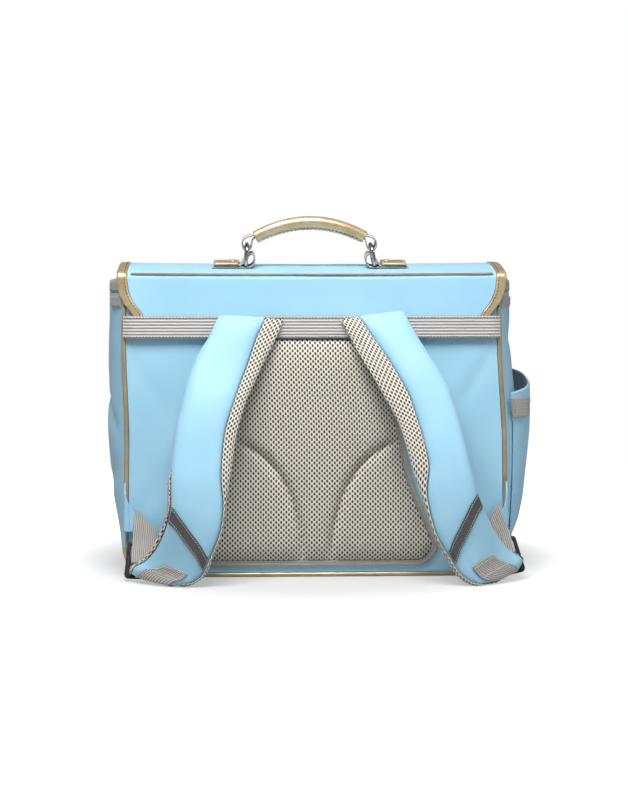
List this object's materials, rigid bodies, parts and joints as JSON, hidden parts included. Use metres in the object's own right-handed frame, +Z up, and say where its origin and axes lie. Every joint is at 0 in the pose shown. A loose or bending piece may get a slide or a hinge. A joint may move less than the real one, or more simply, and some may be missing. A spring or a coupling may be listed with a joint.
{
  "type": "school satchel backpack",
  "caption": "Boxy school satchel worn as a backpack: curved flap over the top, padded mesh back, two padded shoulder straps, top handle on rings and a side bottle pocket.",
  "frame": {"origin": "middle of the flat base, on the surface it stands on", "axes": "+Z up, -Y out of the worn side, +X to the right of someone who looks at that side"},
  "size_m": [0.4393, 0.239, 0.3631],
  "materials": {
    "blue": "satin",
    "gold": "satin",
    "grey": "matte",
    "mesh": "matte",
    "reflective": "satin",
    "nickel": "polished",
    "black": "satin"
  },
  "bodies": {
    "root": {"back_panel": "blue", "front_panel": "blue", "gusset_left": "blue", "gusset_binding_left": "grey", "gusset_right": "blue", "gusset_binding_right": "grey", "base_panel": "blue", "corner_tab_left": "grey", "corner_tab_right": "grey", "piping_back": "gold", "piping_front": "gold", "flap": "blue", "flap_binding": "gold", "flap_cord_back": "grey", "flap_cord_front": "grey", "clasp_left": "nickel", "clasp_right": "nickel", "webbing_band": "grey", "back_pad": "mesh", "pad_binding": "grey", "strap_cover_left": "blue", "strap_mesh_left": "mesh", "reflective_strip_left": "reflective", "strap_end_webbing_left": "grey", "strap_cover_right": "blue", "strap_mesh_right": "mesh", "reflective_strip_right": "reflective", "strap_end_webbing_right": "grey", "buckle_left": "black", "lower_webbing_left": "grey", "side_tab_left": "blue", "buckle_right": "black", "lower_webbing_right": "grey", "side_tab_right": "blue", "handle_grip": "gold", "ring_left": "nickel", "grip_webbing_left": "grey", "anchor_webbing_left": "grey", "handle_tab_left": "gold", "rivet_left": "gold", "ring_right": "nickel", "grip_webbing_right": "grey", "anchor_webbing_right": "grey", "handle_tab_right": "gold", "rivet_right": "gold", "bottle_pocket": "blue", "pocket_strap": "grey"}
  },
  "joints": []
}
